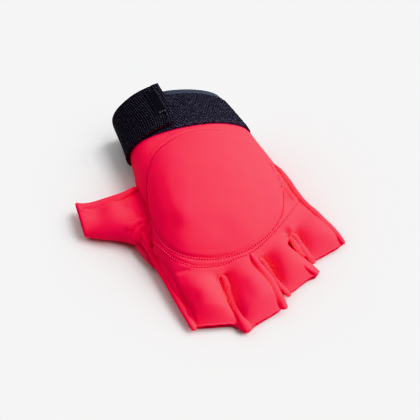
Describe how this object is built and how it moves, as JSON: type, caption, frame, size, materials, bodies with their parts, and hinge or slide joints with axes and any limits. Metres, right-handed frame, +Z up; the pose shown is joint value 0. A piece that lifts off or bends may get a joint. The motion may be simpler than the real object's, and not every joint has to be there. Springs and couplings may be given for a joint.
{
  "type": "field hockey glove",
  "caption": "Left-hand field hockey glove with half fingers, a padded domed back, a thin palm, an open thumb stall and a hook-and-loop wrist strap, lying palm down.",
  "frame": {"origin": "middle of the glove's footprint, on the surface that its palm lies on", "axes": "+Z up from the palm to the back, -Y towards the fingers, -X towards the thumb"},
  "size_m": [0.153, 0.1804, 0.047],
  "materials": {
    "cover_fabric": "smooth matte coral-red stretch fabric over foam",
    "palm_fabric": "coral-red knitted mesh fabric",
    "cuff_fabric": "dark navy laminated stretch fabric",
    "loop_fabric": "black brushed loop pile",
    "elastic": "black ribbed woven elastic",
    "hook_tape": "black moulded hook tape",
    "label_fabric": "black satin-woven label, bare"
  },
  "bodies": {
    "root": {"back_panel": "cover_fabric", "finger_panel": "cover_fabric", "back_pad": "cover_fabric", "palm_panel": "palm_fabric", "thumb_stall": "cover_fabric", "cuff": "cuff_fabric", "loop_patch": "loop_fabric", "wrist_strap": "elastic", "hook_tab": "hook_tape", "strap_label": "label_fabric"}
  },
  "joints": []
}
